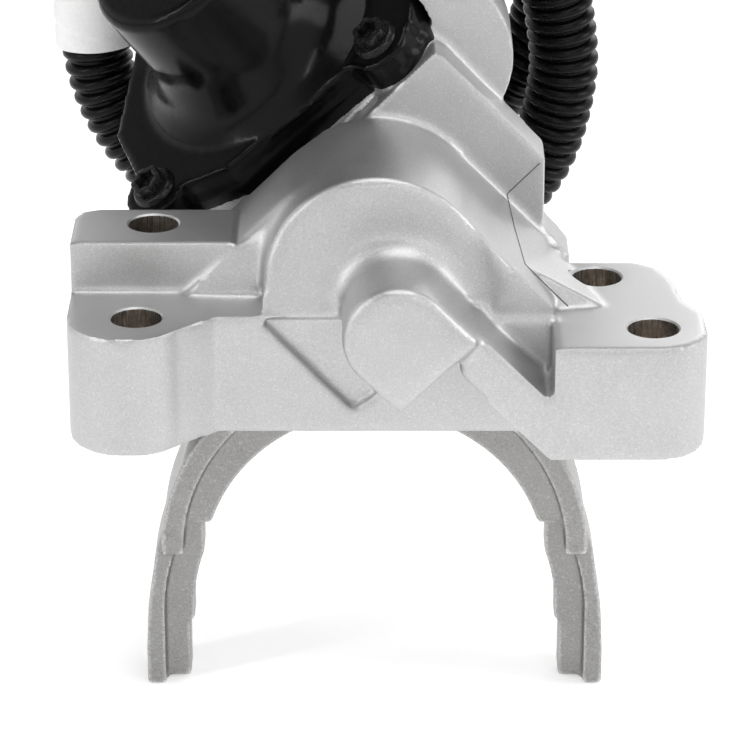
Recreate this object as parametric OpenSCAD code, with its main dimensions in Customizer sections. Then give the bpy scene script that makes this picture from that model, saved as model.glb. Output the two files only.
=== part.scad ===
// Front differential actuator: an electric shifter that bolts to a front axle and slides a fork.
// X runs across the flange, +Y runs away from the front face, +Z is up.
// The origin is on the mounting face, in the middle of its front strip.

/* [Mounting flange] */
// Radius of the four bolt holes
bolt_r = 5.5; // [4:0.1:6.5]
// Height of the two right pads above the mounting face
right_pad_h = 26; // [22:0.5:32]
// Height of the front left pad
left_pad_h = 27; // [22:0.5:32]
// Height of the raised rear left pad
raised_pad_h = 38.6; // [34:0.5:44]
// Radius of the round front left boss
left_boss_r = 13; // [11:0.5:15]
// Distance of the front left bolt hole to the left of the centre
left_front_x = 51; // [48:0.5:54]
// Distance of the front right bolt hole to the right of the centre
right_front_x = 59.5; // [57:0.5:62]
// Distance of the rear bolt holes behind the datum
rear_hole_y = 24; // [22:0.5:27]
// Wall between the fork chamber and the front face
front_wall = 5.5; // [4.5:0.1:6]

/* [Dome and rail] */
// Outer radius of the fork chamber's dome
dome_r = 24.5; // [24:0.1:26]
// Height of the dome's centre above the mounting face
dome_z = 32.5; // [31:0.1:34]
// Wall of the cast chambers
wall = 4; // [3:0.1:5]
// Distance of the shift rail to the right of the centre
rail_x = 5; // [2:0.5:8]
// Height of the shift rail above the mounting face
rail_z = 28.5; // [28:0.25:30]
// Radius of the shift rail
rail_r = 7; // [6:0.1:7.5]
// Wall of the two rail bushes
bush_wall = 1.5; // [1:0.1:2]
// Outer radius of the rail boss
boss_r = 12; // [11.5:0.1:14]
// How far the rail boss stands in front of the datum
boss_front = 20; // [18:0.5:24]
// Running clearance on the radius of shafts in bushes
running_gap = 0.04; // [0.02:0.01:0.08]

/* [Shift fork] */
// Travel of the fork along its rail
fork_travel = 10; // [8:0.5:11]
// Thickness of the fork over its ribs
fork_t = 19; // [16:0.5:20]
// Thickness of the fork's tongues, which run in the collar's groove
tongue_t = 8; // [6:0.5:10]
// Inner radius of the tongues
tongue_r = 40.6; // [38:0.2:42]
// Depth of the collar's axis below the mounting face
collar_depth = 49; // [47:0.5:51]
// Depth of the fork's tips below the mounting face
tip_depth = 67; // [62:0.5:68]
// Half the width of the fork over its legs
fork_half_w = 51.4; // [50:0.2:53]

/* [Motor and cover] */
// Outer radius of the motor pot at its base
pot_r = 22; // [21.5:0.1:23]
// Height of the motor pot above the cover plate
pot_h = 35; // [34:0.5:40]
// Wall of the cast cover
cover_wall = 2.5; // [2:0.1:3]
// Depth of the cover's skirt
skirt_h = 6.5; // [6:0.1:8]
// Thickness of the cover gasket
gasket_t = 0.5; // [0.3:0.1:0.8]
// Radius of the screw ears
ear_r = 7.8; // [6.5:0.1:8]
// Radius of the cover screws
screw_r = 2.5; // [2:0.1:3]
// Radius of the motor's steel can
can_r = 17.5; // [16.5:0.1:18]

/* [Gears] */
// Module of the gear teeth
gear_module = 0.8; // [0.8:0.01:0.82]
// Teeth on the motor pinion
pinion_teeth = 10; // [10:1:10]
// Teeth on the intermediate gear's large wheel
large_teeth = 34; // [34:1:34]
// Teeth on the intermediate gear's small wheel
small_teeth = 12; // [12:1:12]
// Teeth on the output gear
output_teeth = 30; // [30:1:30]
// Radius at which the crank ball turns
crank_r = 11.5; // [11:0.1:12]
// Radius of the crank ball
ball_r = 3; // [2.6:0.1:3.2]
// Thickness of the steel plate that carries the motor and gear pins
plate_t = 2; // [1.5:0.1:2.5]

/* [Harness] */
// Outer diameter of the corrugated conduit
conduit_d = 16.5; // [14:0.1:17]
// Width of the connector
connector_w = 20; // [18:0.5:22]
// Length of the connector's shell
connector_l = 30; // [26:0.5:34]

/* [Hidden] */
$fn = 64;

// Small step by which a cut runs past the face that it opens
past = 1;
// Gap between parts that are assembled with play
play = 0.3;

// Bolt holes: left front, left rear, right front, right rear
left_front = [-left_front_x, -2];
left_rear = [-left_front_x + 2.5, rear_hole_y];
right_front = [right_front_x, -5.3];
right_rear = [right_front_x - 10.5, rear_hole_y];
left_edge = -left_front_x - left_boss_r - 2;
right_edge = right_front_x + 11.5;
right_boss_r = 11.5;
centre_front_y = -2;
band_front_y = -17;
chamber_front_y = centre_front_y + front_wall;
chamber_rear_y = 38;
plate_front_y = 41;
plate_rear_y = 54;
block_rear_y = 91;
// Diagonal faces of the casting, as X + Z or Z - X at the face
dome_x = 0.5;
dome_left = 59.4;
dome_right = dome_r * sqrt(2) + dome_z + dome_x - 0.4;
dome_min_x = -36;
dome_max_x = 38.5;
skirt_front_y = 11;

// Cover frame: x and y lie in the cover plate's top face, z is the motor's axis
pot_base = [-27, 68, 66];
cover_turn = [11.9, -40.8, 20.8];
cover_x = [cos(cover_turn[2]) * cos(cover_turn[1]),
    sin(cover_turn[2]) * cos(cover_turn[1]),
    -sin(cover_turn[1])];
cover_y = [
    cos(cover_turn[2]) * sin(cover_turn[0]) * sin(cover_turn[1]) - sin(cover_turn[2]) * cos(cover_turn[0]),
    sin(cover_turn[2]) * sin(cover_turn[0]) * sin(cover_turn[1]) + cos(cover_turn[2]) * cos(cover_turn[0]),
    sin(cover_turn[0]) * cos(cover_turn[1])];
cover_z = cross(cover_x, cover_y);
function in_row(p) = pot_base + p[0] * cover_x + p[1] * cover_y + p[2] * cover_z;

// Screw places and the plate's corners in the cover frame
screws_at = [[-39.9, -11.8], [18.2, -30], [31, 12], [-4, 34.5]];
cover_outline = [[-39, -15.5], [-25, -25.2], [8.5, -29.9], [12.8, -32], [20, -34.8], [26.8, -33.8],
    [29.8, -30], [33, -22], [33, 10], [25, 24], [-2, 36], [-20, 31], [-38, 12], [-42, -8]];
tub_depth = 24;
tub_floor = 3;
rim_z = -skirt_h - gasket_t;
mid_plate_z = rim_z - 1.5;
tub_floor_z = -tub_depth + tub_floor;

// Gear train in the cover frame
idler_angle = 162;
idler_distance = gear_module * (pinion_teeth + large_teeth) / 2;
output_distance = gear_module * (small_teeth + output_teeth) / 2;
idler_at = idler_distance * [cos(idler_angle), sin(idler_angle)];
output_angle = -77;
output_at = idler_at + output_distance * [cos(output_angle), sin(output_angle)];
pinion_z = mid_plate_z - plate_t - 0.6;
floor_gap = 0.4;
large_w = 3;
// The small wheel and the output gear fill the room under the large wheel
small_w = pinion_z - large_w - tub_floor_z - floor_gap;
output_w = small_w - 1.5;
// The crank swings half its throw to each side of the cover frame's x axis
crank_throw = 2 * asin(fork_travel / (2 * crank_r * cover_y[1]));
crank_rest = -crank_throw / 2;
crank_arm_z = -tub_depth - 1;
crank_arm_t = 3.4;
ball_z = crank_arm_z - crank_arm_t - 3.6;
ball_mid = in_row([output_at[0] + crank_r, output_at[1], ball_z]);
slot_gap = 0.6;
selector_y = ball_mid[1] - fork_travel / 2 - 0.3;
// The selector's sleeve is thinner in the slot where the ball needs the room
slot_floor_r = min(rail_r + 2.2, norm([ball_mid[0] - rail_x, ball_mid[2] - rail_z]) - ball_r - play);
selector_half = ball_r + slot_gap + 3.6;
crank_shaft_r = 4;
idler_pin_r = 2;
motor_shaft_r = 1.6;

// Fork and rail along Y at rest
fork_arch_r = fork_half_w - 1.6;
fork_arch_z = -collar_depth + 5;
fork_arch_top = fork_arch_z + fork_arch_r;
leg_w = 4.3;
arch_joint = 25.4;
rib_z = -33;
// Gap between the flange's face and the fork's arms, more than a mounting plate's thickness
flange_gap = 2.1;
selector_pin_y = selector_y + selector_half - 2.2;
fork_y = chamber_front_y + 1 + fork_t / 2 + 0.5;
rail_front_y = -boss_front + 5;
rail_rear_y = selector_y + selector_half + 2.5;
hub_r = 13;
hub_len = fork_t + 1;

function unit(v) = v / norm(v);

// Curve through the given points, with a few steps between each pair
function between(a, b, c, d, t) =
    ((2 * b) + (c - a) * t + (2 * a - 5 * b + 4 * c - d) * t * t + (3 * b - a - 3 * c + d) * t * t * t) / 2;
function smooth_line(pts, steps) = [
    for (i = [0 : len(pts) - 2], k = [0 : steps - 1])
        between(pts[max(i - 1, 0)], pts[i], pts[i + 1], pts[min(i + 2, len(pts) - 1)], k / steps),
    pts[len(pts) - 1]
];
function tangent(l, i) = unit(l[min(i + 1, len(l) - 1)] - l[max(i - 1, 0)]);
function carried(l, i, side) =
    let(t = tangent(l, i), s = unit(side - (side * t) * t))
    i == len(l) - 1 ? [s] : concat([s], carried(l, i + 1, s));

// Round tube along a line, with flat ends
module tube(line, r, sides) {
    across = carried(line, 0, [1, 0, 0.01]);
    rings = [for (i = [0 : len(line) - 1], k = [0 : sides - 1])
        let(t = tangent(line, i), a = across[i], b = cross(t, a))
        line[i] + r * cos(360 * k / sides) * a + r * sin(360 * k / sides) * b];
    last = (len(line) - 1) * sides;
    skins = [for (i = [0 : len(line) - 2], k = [0 : sides - 1])
        [i * sides + k, (i + 1) * sides + k,
            (i + 1) * sides + (k + 1) % sides, i * sides + (k + 1) % sides]];
    ends = [[for (k = [0 : sides - 1]) k], [for (k = [sides - 1 : -1 : 0]) last + k]];
    polyhedron(rings, concat(skins, ends), convexity = 8);
}

// Conduit route, from the grommet round the back to the connector
grommet_at = [-17, block_rear_y, 22];
conduit_start = grommet_at + [0, 4, 0];
conduit_points = [
    [-17, 97, 22], [-14.7, 108.5, 22], [-8.2, 118.2, 22.5], [1.5, 124.7, 23.5], [13, 127, 25.5],
    [24, 126, 30], [33, 123, 38.5], [39, 119.5, 50], [42, 117, 64], [41, 115, 80], [34, 113, 95],
    [18, 112, 106.5], [-6, 110.5, 111], [-32, 108, 106], [-53, 104, 91], [-64, 101.5, 72],
    [-66, 101, 55], [-61.5, 101, 38], [-51, 100.5, 23.5], [-35, 100, 11.5], [-15, 100, 4],
    [7, 100, 3.5], [26, 99, 11], [39, 97, 27], [44.3, 94.5, 48], [43, 93, 66], [39, 91.5, 81],
    [34, 90.5, 94.5], [26.5, 90, 103.7], [16.5, 90, 109], [8, 90, 110]
];
connector_at = [6, 90, 110];
conduit_line = concat([conduit_start], smooth_line(conduit_points, 3), [connector_at]);
tape_first = 43;
tape_last = 49;
tape_t = 1.8;

module in_cover() translate(pot_base) rotate(cover_turn) children();

// Extrudes an X-Z outline along Y, from y0 to y1
module along_y(y0, y1) translate([0, y1, 0]) rotate([90, 0, 0]) linear_extrude(y1 - y0) children();

module y_cylinder(r, y0, y1) translate([rail_x, y0, rail_z]) rotate([-90, 0, 0]) cylinder(r = r, h = y1 - y0);

// Round top with a diagonal right flank, moved in by the given wall
module dome_outline(inset) {
    r = dome_r - inset;
    right = dome_right - inset * sqrt(2);
    top = dome_z + r / sqrt(2);
    intersection() {
        union() {
            translate([dome_x, dome_z]) circle(r = r);
            polygon([
                [dome_x - r, 0], [dome_x - r, dome_z], [dome_x, top], [right - top, top], [right, 0]
            ]);
        }
        translate([dome_min_x, 0]) square([dome_max_x - dome_min_x - inset, 80]);
    }
}

// Diagonal left flank, at the rear of the dome only
module dome_skirt(inset) {
    left = dome_left - inset * sqrt(2);
    polygon([[dome_min_x + inset, 0], [dome_min_x + inset, left + dome_min_x + inset],
        [41 - left, 41], [dome_x, 41], [dome_x, 0]]);
}

module flange_outline() {
    polygon([
        [left_edge, left_front[1]], [left_edge, 28], [left_edge + 1.5, 31.5], [left_edge + 5, 33],
        [-30, 33], [-30, 42], [42, 42],
        [42, 33], [right_rear[0] + 9, 33], [right_rear[0] + 14, 29.5], [right_rear[0] + 16.8, 22],
        [right_rear[0] + 18.4, 10], [right_edge, 3], [right_edge, right_front[1]], [right_front[0], band_front_y],
        [38, band_front_y], [38, centre_front_y], [-34, centre_front_y],
        [left_front[0] + 9, left_front[1] - 7]
    ]);
    translate([left_edge + left_boss_r, left_front[1]]) circle(r = left_boss_r);
    translate(right_front) circle(r = right_boss_r + 0.2);
}

// Round boss with a square corner towards the lower right
module rail_boss_outline() {
    corner = boss_r - 0.15;
    translate([rail_x, rail_z]) {
        circle(r = boss_r);
        rotate(-45) translate([0, -corner]) square([boss_r + 0.4, 2 * corner]);
    }
}

module rear_plate_outline() {
    top = [13.2, 72.3];
    polygon([
        [-34, 8], [-34, 25.2], [top[0] - 2, top[1] - 1.9], top, [top[0] + 2.3, top[1] - 1.3],
        [38, 47.3], [38, 31], [44, 24], [44, 8]
    ]);
}

module cover_shape() {
    polygon(cover_outline);
    for (s = screws_at) translate(s) circle(r = ear_r);
    circle(r = pot_r + 2);
}

// Space inside the tub and the cover's skirt
module tub_space() {
    polygon([[-34, -10], [-24, -22.3], [-8, -25.2], [8, -26.4], [15, -20], [22.5, -16],
        [25.5, 6], [19, 20], [0, 27], [-17, 27.5], [-34, 9]]);
}

module cast_body() {
    linear_extrude(right_pad_h) flange_outline();
    // Left pads are higher than the right ones
    linear_extrude(left_pad_h) intersection() {
        flange_outline();
        translate([-80, -40]) square([60, 90]);
    }
    linear_extrude(raised_pad_h) intersection() {
        flange_outline();
        translate([-80, 12]) square([49, 40]);
    }
    along_y(centre_front_y + 1, plate_front_y + 1) dome_outline(0);
    along_y(skirt_front_y, plate_front_y + 1) dome_skirt(0);
    along_y(-boss_front, chamber_front_y + 1) rail_boss_outline();
    diagonal_band();
    along_y(plate_front_y, plate_rear_y) rear_plate_outline();
    difference() {
        union() {
            translate([-29, plate_rear_y - 1, 10]) cube([51, block_rear_y - plate_rear_y + 1, 48]);
            translate([10, 71, 67.3]) rotate([90, 0, 0]) cylinder(r = 21, h = 20);
        }
        in_cover() translate([0, 0, rim_z]) linear_extrude(60) scale(1.03) cover_shape();
    }
    in_cover() translate([0, 0, -tub_depth]) linear_extrude(tub_depth + rim_z) cover_shape();
}

module diagonal_band() {
    low = 37.4;
    high = 51;
    along_y(band_front_y, centre_front_y + 2)
        polygon([[high - 29, 29], [low - 20, 20], [low, 0], [44, 0], [44, high - 44]]);
}

// Recess beside the rail boss in the front face
module front_recess() {
    along_y(centre_front_y - past, centre_front_y + 2.2)
        polygon([[-25, 26.4], [-4.8, 5.1], [0.8, 9], [-4, 20], [-6, 26.4]]);
}

module fork_chamber() {
    along_y(chamber_front_y, chamber_rear_y) intersection() {
        dome_outline(wall);
        translate([-30, 1]) square([64, 80]);
    }
    along_y(skirt_front_y + wall, chamber_rear_y) intersection() {
        dome_skirt(wall);
        translate([-30, 1]) square([30, 80]);
    }
    translate([-30, chamber_front_y, -past]) cube([64, chamber_rear_y - chamber_front_y, past + 20]);
}

module selector_chamber() {
    difference() {
        translate([-25, plate_rear_y, 14]) cube([43, block_rear_y - wall - plate_rear_y, 46]);
        in_cover() translate([-70, -70, -tub_depth]) cube([140, 140, 100]);
    }
}

module housing() {
    color([0.78, 0.78, 0.77])
    difference() {
        cast_body();
        for (b = [left_front, left_rear, right_front, right_rear])
            translate([b[0], b[1], -past]) cylinder(r = bolt_r, h = 60);
        front_recess();
        fork_chamber();
        selector_chamber();
        // Rail bore, blind in the boss and open into the selector chamber
        y_cylinder(rail_r + bush_wall, rail_front_y - 1, chamber_front_y + past);
        y_cylinder(rail_r + bush_wall, chamber_rear_y - past, plate_rear_y + past);
        y_cylinder(boss_r, block_rear_y - wall - past, block_rear_y + past);
        in_cover() {
            translate([0, 0, tub_floor_z]) linear_extrude(tub_depth) tub_space();
            translate([0, 0, mid_plate_z - plate_t]) linear_extrude(10) plate_shape(0.1);
            translate([output_at[0], output_at[1], -tub_depth - past])
                cylinder(r = crank_shaft_r + bush_wall, h = tub_floor + 2 * past);
            translate([idler_at[0], idler_at[1], tub_floor_z - 2]) cylinder(r = idler_pin_r, h = 4);
            for (s = screws_at) translate([s[0], s[1], rim_z - 12])
                cylinder(r = screw_r + running_gap, h = 12 + past);
        }
        translate(grommet_at - [0, wall + past, 0]) rotate([-90, 0, 0]) cylinder(r = 6, h = wall + 2 * past);
    }
}

module rail_bush(y0, y1) {
    difference() {
        y_cylinder(rail_r + bush_wall, y0, y1);
        y_cylinder(rail_r + running_gap, y0 - past, y1 + past);
    }
}

module rail_bush_front() { color([0.70, 0.55, 0.30]) rail_bush(rail_front_y, chamber_front_y - 0.5); }
module rail_bush_rear() { color([0.70, 0.55, 0.30]) rail_bush(chamber_rear_y + 1, plate_rear_y - 1); }

module core_plug() {
    color([0.66, 0.66, 0.64])
    difference() {
        y_cylinder(boss_r, block_rear_y - wall, block_rear_y);
        y_cylinder(boss_r - 1.5, block_rear_y - wall + 1.5, block_rear_y + past);
    }
}

module shift_rail() {
    color([0.62, 0.63, 0.65])
    difference() {
        union() {
            y_cylinder(rail_r, rail_front_y + 1, rail_rear_y - 1);
            translate([rail_x, rail_front_y, rail_z]) rotate([-90, 0, 0]) cylinder(r1 = rail_r - 1, r2 = rail_r, h = 1);
            translate([rail_x, rail_rear_y - 1, rail_z]) rotate([-90, 0, 0]) cylinder(r1 = rail_r, r2 = rail_r - 1, h = 1);
        }
        cross_pin(fork_y, 2 * hub_r);
        cross_pin(selector_pin_y, 2 * hub_r);
    }
}

// Upright pin through the rail at the given place
module cross_pin(y, h) translate([rail_x, y, rail_z - h / 2]) cylinder(r = 1.5, h = h);

// Room for the fork: under the flange, and through its window
module below_flange() {
    translate([-60, -90]) square([120, 90 - flange_gap]);
    translate([-27, -2]) square([55, 40]);
}

// Outer edge of the fork: an arch over two legs that lean in at the top
module fork_outer() {
    w = fork_half_w;
    intersection() {
        union() {
            translate([0, fork_arch_z]) circle(r = fork_arch_r, $fn = 96);
            polygon([[-w, -tip_depth], [-w, -58], [-w + 0.6, -47], [-w + 2.4, -37], [-w + 4.3, -28.5],
                [-w + 7.9, -15], [-w + 12, -1.5], [w - 12, -1.5], [w - 7.9, -15], [w - 4.3, -28.5],
                [w - 2.4, -37], [w - 0.6, -47], [w, -58], [w, -tip_depth]]);
        }
        translate([-w, -tip_depth]) square([2 * w, 90]);
        below_flange();
    }
}

module fork_mid_outline() {
    leg_r = fork_half_w - leg_w;
    difference() {
        fork_outer();
        translate([0, -collar_depth + 11.2]) circle(r = tongue_r - 2.6, $fn = 96);
        intersection() {
            translate([0, -collar_depth]) circle(r = leg_r, $fn = 96);
            translate([-leg_r, -tip_depth - past]) square([2 * leg_r, tip_depth - arch_joint]);
        }
        translate([-leg_r, -tip_depth - past]) square([2 * leg_r, tip_depth - collar_depth + past]);
    }
}

// Raised rib along the arch
module fork_rib_outline() {
    rib_r = fork_half_w - 4;
    intersection() {
        translate([0, rib_z]) difference() {
            circle(r = rib_r, $fn = 96);
            circle(r = rib_r - 4.8, $fn = 96);
        }
        translate([-fork_half_w, rib_z - 0.5]) square([2 * fork_half_w, 60]);
        below_flange();
    }
}

module fork_tongue_outline() {
    throat = tongue_r - 2.5;
    difference() {
        intersection() {
            fork_outer();
            translate([-fork_half_w + 3, -tip_depth + 0.5])
                square([2 * fork_half_w - 6, tip_depth - arch_joint]);
        }
        translate([0, -collar_depth]) circle(r = tongue_r, $fn = 96);
        translate([-tongue_r - 1, -tip_depth - past]) square([2 * tongue_r + 2, tip_depth - collar_depth - 2]);
        translate([-throat, -collar_depth + 9]) square([2 * throat, collar_depth]);
    }
}

// Web between the hub and the arch
module fork_web() {
    low = fork_arch_top - 4.8;
    polygon([[-23, low], [-8, rail_z], [18, rail_z], [26, low], [16, low + 1], [0, low + 2.5], [-16, low + 1]]);
}

module along_fork(t) along_y(fork_y - t / 2, fork_y + t / 2) children();

module shift_fork() {
    color([0.60, 0.60, 0.59])
    difference() {
        union() {
            along_fork(fork_t - 5) fork_mid_outline();
            along_fork(fork_t) fork_rib_outline();
            along_fork(tongue_t) fork_tongue_outline();
            along_fork(fork_t - 5) fork_web();
            y_cylinder(hub_r, fork_y - hub_len / 2, fork_y + hub_len / 2);
        }
        y_cylinder(rail_r, -boss_front, 70);
        cross_pin(fork_y, 3 * hub_r);
    }
}

module fork_pin() { color([0.35, 0.35, 0.36]) cross_pin(fork_y, 2 * hub_r - 1); }

module selector_block() {
    color([0.66, 0.64, 0.60])
    difference() {
        union() {
            y_cylinder(rail_r + 3, selector_y - selector_half, selector_y + selector_half);
            difference() {
                translate([-15, selector_y - selector_half, rail_z]) cube([rail_x + 15, 2 * selector_half, 18]);
                in_cover() translate([-70, -70, crank_arm_z - crank_arm_t - 0.6]) cube([140, 140, 100]);
            }
        }
        // Slot for the crank ball
        translate([-40, selector_y - ball_r - slot_gap, rail_z + 1]) difference() {
            cube([80, 2 * (ball_r + slot_gap), 40]);
            translate([40 + rail_x, -past, -1]) rotate([-90, 0, 0]) cylinder(r = slot_floor_r, h = 20);
        }
        y_cylinder(rail_r, 0, 100);
        cross_pin(selector_pin_y, 60);
    }
}

module selector_pin() { color([0.35, 0.35, 0.36]) cross_pin(selector_pin_y, 2 * rail_r + 5); }

module motor_cover() {
    color([0.07, 0.07, 0.075])
    in_cover() difference() {
        union() {
            translate([0, 0, -skirt_h]) linear_extrude(skirt_h) cover_shape();
            cylinder(r1 = pot_r, r2 = pot_r - 1.2, h = pot_h - 1.5);
            translate([0, 0, pot_h - 1.5]) cylinder(r1 = pot_r - 1.2, r2 = pot_r - 2.7, h = 1.5);
        }
        translate([0, 0, -skirt_h - past]) linear_extrude(skirt_h + past - cover_wall) tub_space();
        translate([0, 0, -skirt_h]) cylinder(r = can_r + play, h = skirt_h + pot_h - cover_wall);
        for (s = screws_at) translate([s[0], s[1], -skirt_h - past])
            cylinder(r = screw_r + play, h = skirt_h + 2 * past);
    }
}

module cover_gasket() {
    color([0.12, 0.12, 0.13])
    in_cover() translate([0, 0, rim_z]) linear_extrude(gasket_t) difference() {
        cover_shape();
        plate_shape(0.1);
        for (s = screws_at) translate(s) circle(r = screw_r + play);
    }
}

module cover_screws() {
    color([0.10, 0.10, 0.11])
    in_cover() for (s = screws_at) translate([s[0], s[1], 0]) {
        translate([0, 0, rim_z - 10]) cylinder(r = screw_r, h = 10 - rim_z);
        cylinder(r = 2.2 * screw_r, h = 1.2);
        translate([0, 0, 1.2]) difference() {
            cylinder(r = 1.6 * screw_r, h = 3.6, $fn = 6);
            translate([0, 0, 1.6]) cylinder(r = 0.8 * screw_r, h = 3);
        }
    }
}

// Steel plate on the tub's ledge, grown by the given play
module plate_shape(grow) {
    g = 1 + grow / 30;
    scale(g) polygon([[-34.6, -10], [-24.4, -22.9], [-8, -25.8], [8, -27], [15.4, -20.6], [23, -16.4], [26.2, 6],
        [19.4, 20.6], [0, 27.7], [-17.4, 28.4], [-34.8, 9.2]]);
}

module gear_plate() {
    color([0.62, 0.60, 0.52])
    in_cover() translate([0, 0, mid_plate_z - plate_t]) linear_extrude(plate_t) difference() {
        plate_shape(0);
        circle(r = gear_module * (pinion_teeth / 2 + 1) + 2);
        translate(idler_at) circle(r = idler_pin_r);
    }
}

module motor_can() {
    bottom = mid_plate_z + 1.2;
    color([0.55, 0.56, 0.57])
    in_cover() difference() {
        translate([0, 0, bottom]) cylinder(r = can_r, h = pot_h - cover_wall - 1 - bottom);
        translate([0, 0, bottom - past]) cylinder(r = can_r - 1.2, h = pot_h - cover_wall - 2.2 - bottom + past);
        translate([0, 0, pot_h - cover_wall - 4]) cylinder(r = 3.5, h = 10);
    }
}

module motor_end_plate() {
    color([0.50, 0.51, 0.52])
    in_cover() translate([0, 0, mid_plate_z]) difference() {
        union() {
            cylinder(r = can_r, h = 1.2);
            cylinder(r = can_r - 1.2, h = 2.4);
        }
        translate([0, 0, -past]) cylinder(r = 3.5, h = 6);
    }
}

module motor_bush(z0, h) {
    color([0.70, 0.55, 0.30])
    in_cover() translate([0, 0, z0]) difference() {
        cylinder(r = 3.5, h = h);
        translate([0, 0, -past]) cylinder(r = motor_shaft_r + running_gap, h = h + 2 * past);
    }
}

can_top_z = pot_h - cover_wall - 2.2;
module motor_bush_top() { motor_bush(can_top_z - 1.5, 2.7); }
module motor_bush_bottom() { motor_bush(mid_plate_z, 3); }

module magnets() {
    color([0.16, 0.16, 0.17])
    in_cover() translate([0, 0, 4]) for (side = [0, 180]) rotate(side) linear_extrude(22) difference() {
        circle(r = can_r - 1.2);
        circle(r = can_r - 4.6);
        rotate(60) translate([-40, 0]) square([80, 40]);
        rotate(120) translate([-40, -40]) square([80, 40]);
    }
}

// Three-pole armature
module armature_core() {
    color([0.45, 0.45, 0.46])
    in_cover() translate([0, 0, 6]) linear_extrude(18) difference() {
        union() {
            circle(r = 4.6);
            for (a = [0 : 120 : 240]) rotate(a) {
                translate([0, -1.6]) square([11, 3.2]);
                intersection() {
                    difference() {
                        circle(r = can_r - 5.2);
                        circle(r = can_r - 7);
                    }
                    polygon([[0, 0], [20, -20], [20, 20]]);
                }
            }
        }
        circle(r = motor_shaft_r);
    }
}

module armature_windings() {
    color([0.72, 0.40, 0.20])
    in_cover() for (a = [0 : 120 : 240], side = [-1, 1]) rotate(a)
        translate([5, side * 3 - 1.2, 5]) cube([4, 2.4, 20]);
}

module armature_shaft() {
    color([0.70, 0.71, 0.72])
    in_cover() translate([0, 0, pinion_z - large_w - 0.4])
        cylinder(r = motor_shaft_r, h = can_top_z + 0.6 - pinion_z + large_w + 0.4);
}

module commutator() {
    color([0.78, 0.50, 0.25])
    in_cover() translate([0, 0, -1.5]) difference() {
        cylinder(r = 4, h = 6);
        translate([0, 0, -past]) cylinder(r = motor_shaft_r, h = 9);
        for (a = [0 : 60 : 300]) rotate(a + 30) translate([3.2, -0.25, -past]) cube([2, 0.5, 6]);
    }
}

module brushes() {
    color([0.14, 0.13, 0.13])
    in_cover() for (a = [0, 180]) rotate(a) translate([4.1, -1.5, -0.5]) cube([5, 3, 3.5]);
}

module brush_springs() {
    color([0.75, 0.62, 0.35])
    in_cover() for (a = [0, 180]) rotate(a) translate([9.1, -2, -0.5]) difference() {
        cube([can_r - 1.2 - 9.1 - 0.25, 4, 3.5]);
        translate([0.8, -past, 0.8]) cube([can_r - 1.2 - 9.1 - 1.9, 6, 1.9]);
    }
}

// Angle that an involute has turned at radius r
function roll(r, base) = r <= base ? 0 : sqrt(pow(r / base, 2) - 1) * 180 / PI - acos(base / r);

// Points of one flank, from root to tip, on the side given by s
function flank(teeth, s) =
    let(pitch = gear_module * teeth / 2, base = pitch * cos(20), tip = pitch + 0.8 * gear_module,
        root = pitch - 1.1 * gear_module, half = 90 / teeth - 0.11 / pitch * 180 / PI + roll(pitch, base))
    [for (r = [root, max(base, root + 0.01), (base + pitch) / 2 + 0.1, pitch, (pitch + tip) / 2, tip])
        let(a = s * (half - roll(r, base))) r * [cos(a), sin(a)]];
function turned(p, a) = [p[0] * cos(a) - p[1] * sin(a), p[0] * sin(a) + p[1] * cos(a)];
function reversed(l) = [for (i = [len(l) - 1 : -1 : 0]) l[i]];
function gear_points(teeth) = [
    for (k = [0 : teeth - 1], p = concat(flank(teeth, -1), reversed(flank(teeth, 1)))) turned(p, 360 * k / teeth)
];

// Turn that puts a gap of one gear at this angle
function gap_to(angle, teeth) = angle + 180 / teeth;

module gear_shape(teeth, turn) rotate(turn) polygon(gear_points(teeth));

module motor_pinion() {
    color([0.74, 0.62, 0.34])
    in_cover() translate([0, 0, pinion_z - large_w - 0.4]) linear_extrude(large_w + 0.4) difference() {
        gear_shape(pinion_teeth, idler_angle);
        circle(r = motor_shaft_r);
    }
}

module gear_pin() {
    color([0.66, 0.67, 0.68])
    in_cover() translate([idler_at[0], idler_at[1], tub_floor_z - 2])
        cylinder(r = idler_pin_r, h = mid_plate_z - tub_floor_z + 2);
}

small_z = pinion_z - large_w - small_w;
module intermediate_gear() {
    // A gap of the large wheel faces the pinion, and a tooth of the small wheel faces the output gear
    color([0.86, 0.84, 0.76])
    in_cover() translate([idler_at[0], idler_at[1], 0]) difference() {
        union() {
            translate([0, 0, pinion_z - large_w]) linear_extrude(large_w)
                gear_shape(large_teeth, gap_to(idler_angle + 180, large_teeth));
            translate([0, 0, small_z]) linear_extrude(small_w)
                gear_shape(small_teeth, output_angle);
        }
        translate([0, 0, -60]) cylinder(r = idler_pin_r + running_gap, h = 80);
    }
}

output_z = small_z + 0.3;
module output_gear() {
    color([0.84, 0.82, 0.74])
    in_cover() translate([output_at[0], output_at[1], output_z]) difference() {
        linear_extrude(output_w) gear_shape(output_teeth, gap_to(output_angle + 180, output_teeth));
        translate([0, 0, -past]) cylinder(r = crank_shaft_r, h = 10);
        for (a = [45 : 90 : 315]) rotate(a) translate([7.4, 0, -past]) cylinder(r = 1.6, h = 10);
    }
}

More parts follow.
